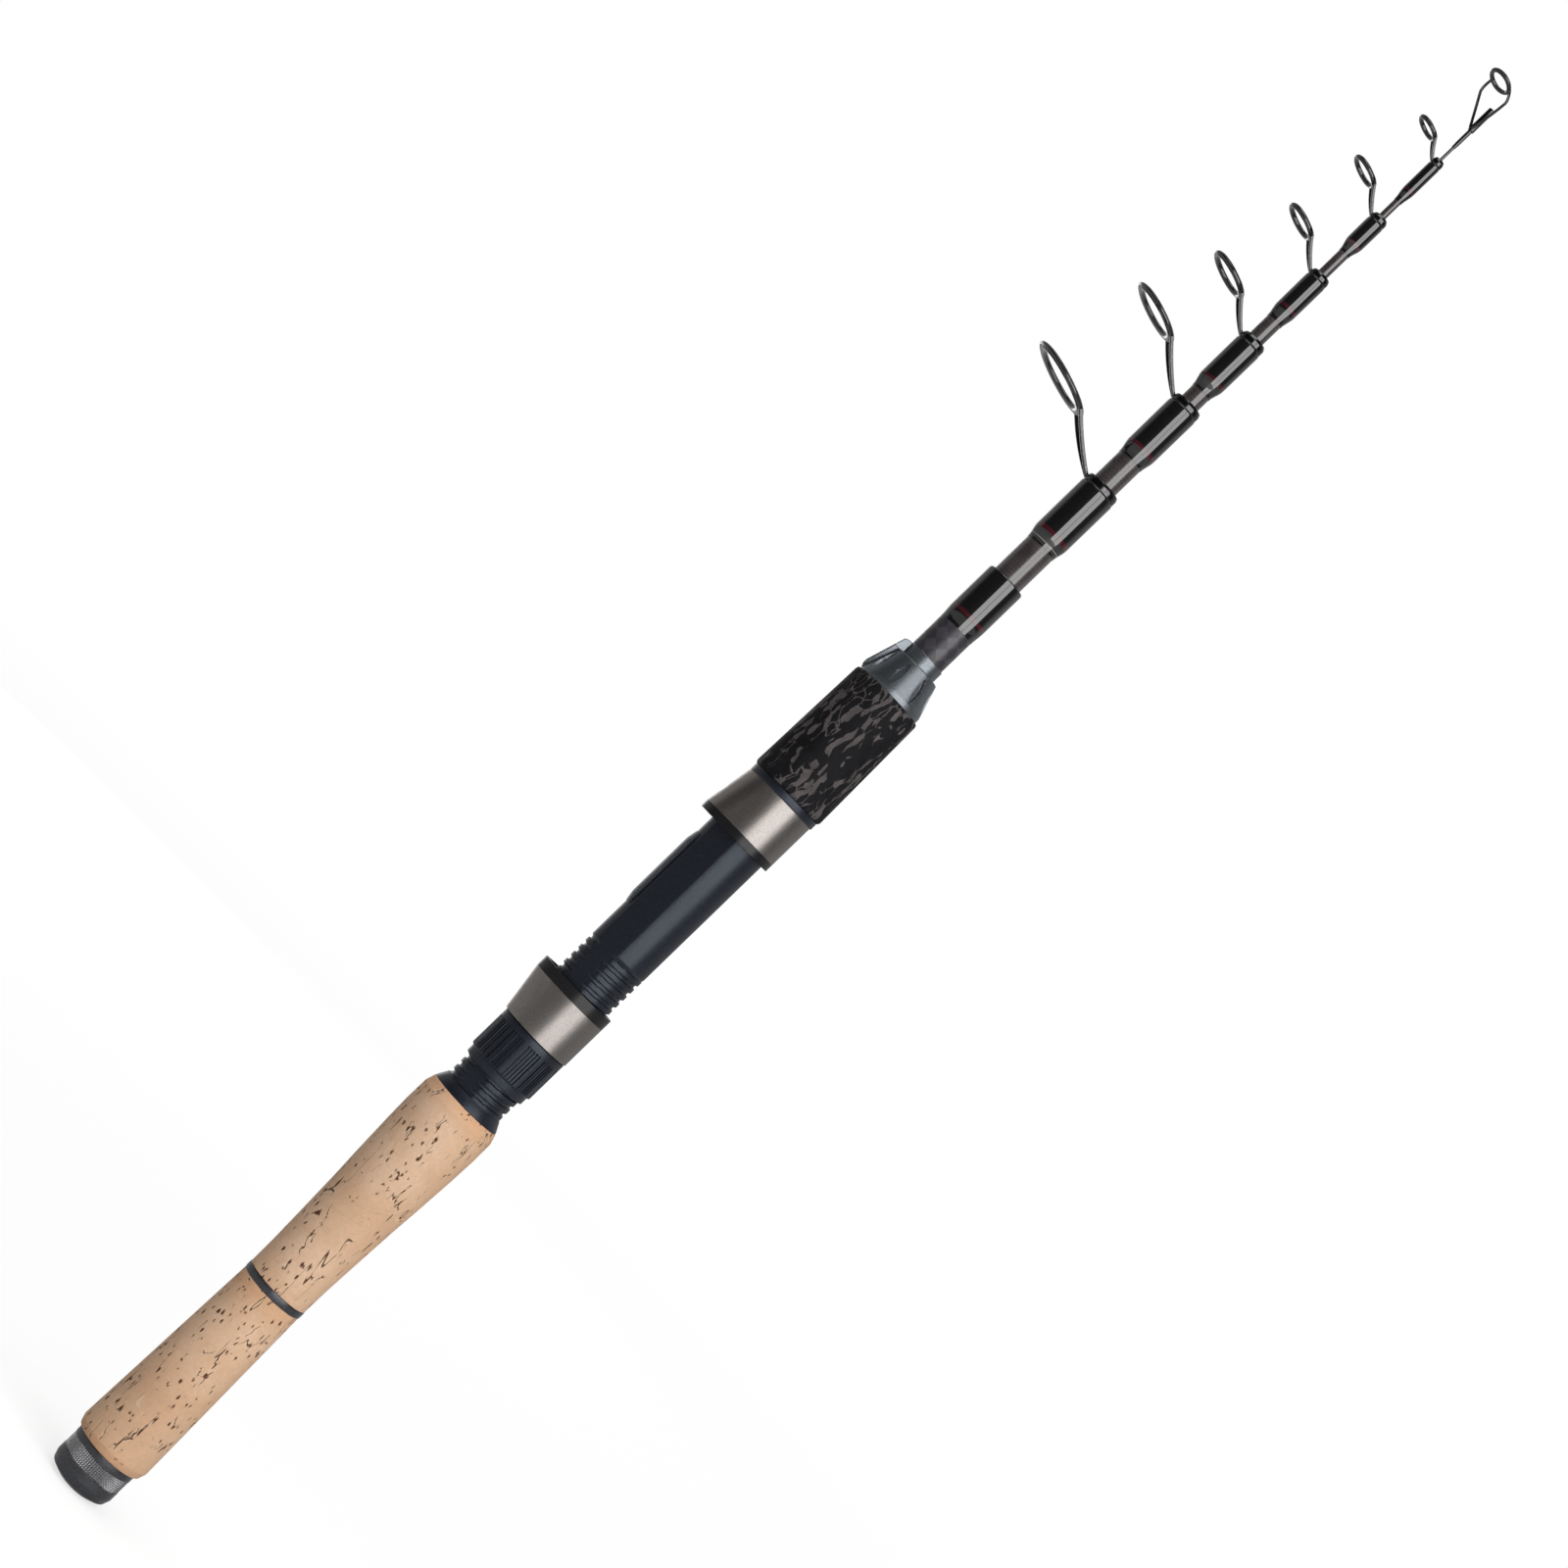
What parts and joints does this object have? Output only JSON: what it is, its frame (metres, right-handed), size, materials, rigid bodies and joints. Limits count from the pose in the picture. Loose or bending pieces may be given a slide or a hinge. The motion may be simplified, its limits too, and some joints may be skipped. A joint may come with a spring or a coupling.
{
  "type": "telescopic fishing rod",
  "caption": "Telescopic spinning rod, closed, with nested tube sections, ringed line guides, a screw-lock reel seat, cork grips, a foam fore grip and an unscrewing butt cap",
  "frame": {"origin": "centre of the butt pad's face, at the butt end of the rod", "axes": "+Z runs along the rod to its tip, the line guides and the reel foot are on the -X side, +Y completes the right-handed frame"},
  "size_m": [0.0535, 0.0254, 0.5506],
  "materials": {
    "black_rubber": "matte",
    "dark_alloy": "satin",
    "thread_plastic": "matte",
    "cork": "matte",
    "black_plastic": "matte",
    "hood_alloy": "satin",
    "lip_plastic": "matte",
    "grip_foam": "matte",
    "cone_alloy": "satin",
    "woven_blank": "satin",
    "dark_blank": "semi-gloss",
    "binding": "clear varnish",
    "guide_frame": "dark polished",
    "guide_ring": "polished"
  },
  "bodies": {
    "handle": {"butt_sleeve": "thread_plastic", "butt_o_ring": "black_rubber", "rear_grip": "cork", "grip_check_ring": "dark_alloy", "front_grip": "cork", "grip_end_collar": "black_plastic", "reel_seat_barrel": "black_plastic", "rear_arbor": "thread_plastic", "front_arbor": "thread_plastic", "reel_foot_pad": "black_plastic", "fixed_hood": "hood_alloy", "fixed_hood_liner": "lip_plastic", "foregrip_collar": "black_plastic", "foregrip": "grip_foam", "winding_check": "cone_alloy", "section_1_blank": "woven_blank", "section_1_wrap": "binding"},
    "butt_buffer": {"butt_buffer": "black_rubber"},
    "butt_cap": {"butt_cap": "dark_alloy", "butt_pad": "black_rubber"},
    "moving_hood": {"moving_hood": "hood_alloy", "moving_hood_liner": "lip_plastic"},
    "lock_nut": {"lock_nut": "black_plastic"},
    "section_2": {"section_2_blank": "dark_blank", "section_2_wrap": "binding", "guide_1_frame": "guide_frame", "guide_1_ring": "guide_ring"},
    "section_3": {"section_3_blank": "dark_blank", "section_3_wrap": "binding", "guide_2_frame": "guide_frame", "guide_2_ring": "guide_ring"},
    "section_4": {"section_4_blank": "dark_blank", "section_4_wrap": "binding", "guide_3_frame": "guide_frame", "guide_3_ring": "guide_ring"},
    "section_5": {"section_5_blank": "dark_blank", "section_5_wrap": "binding", "guide_4_frame": "guide_frame", "guide_4_ring": "guide_ring"},
    "section_6": {"section_6_blank": "dark_blank", "section_6_wrap": "binding", "guide_5_frame": "guide_frame", "guide_5_ring": "guide_ring"},
    "section_7": {"section_7_blank": "dark_blank", "section_7_wrap": "binding", "guide_6_frame": "guide_frame", "guide_6_ring": "guide_ring"},
    "tip_section": {"tip_blank": "dark_blank", "tip_wrap": "binding", "tip_top_frame": "guide_frame", "tip_top_ring": "guide_ring"}
  },
  "joints": [
    {"name": "section_2_slide", "type": "slide", "parent": "handle", "child": "section_2", "axis": [0, 0, 1], "range_m": [0, 0.2802]},
    {"name": "section_3_slide", "type": "slide", "parent": "section_2", "child": "section_3", "axis": [0, 0, 1], "range_m": [0, 0.3175]},
    {"name": "section_4_slide", "type": "slide", "parent": "section_3", "child": "section_4", "axis": [0, 0, 1], "range_m": [0, 0.3499]},
    {"name": "section_5_slide", "type": "slide", "parent": "section_4", "child": "section_5", "axis": [0, 0, 1], "range_m": [0, 0.3754]},
    {"name": "section_6_slide", "type": "slide", "parent": "section_5", "child": "section_6", "axis": [0, 0, 1], "range_m": [0, 0.4009]},
    {"name": "section_7_slide", "type": "slide", "parent": "section_6", "child": "section_7", "axis": [0, 0, 1], "range_m": [0, 0.4238]},
    {"name": "tip_section_slide", "type": "slide", "parent": "section_7", "child": "tip_section", "axis": [0, 0, 1], "range_m": [0, 0.4463]},
    {"name": "hood_slide", "type": "slide", "parent": "handle", "child": "moving_hood", "axis": [0, 0, 1], "range_m": [-0.0075, 0.025]},
    {"name": "nut_turn", "type": "hinge", "parent": "moving_hood", "child": "lock_nut", "pos_m": [0, 0, 0.1687], "axis": [0, 0, 1], "range_deg": [-960, 3210]},
    {"name": "cap_travel", "type": "slide", "parent": "handle", "child": "butt_buffer", "axis": [0, 0, 1], "range_m": [-0.008, 0]},
    {"name": "cap_turn", "type": "hinge", "parent": "butt_buffer", "child": "butt_cap", "pos_m": [0, 0, 0.0085], "axis": [0, 0, 1], "range_deg": [-1915, 0]}
  ],
  "couplings": [
    {"joint": "hood_slide", "follows": "nut_turn", "m_per_rad": 0.00044563},
    {"joint": "cap_travel", "follows": "cap_turn", "m_per_rad": 0.00023873}
  ]
}
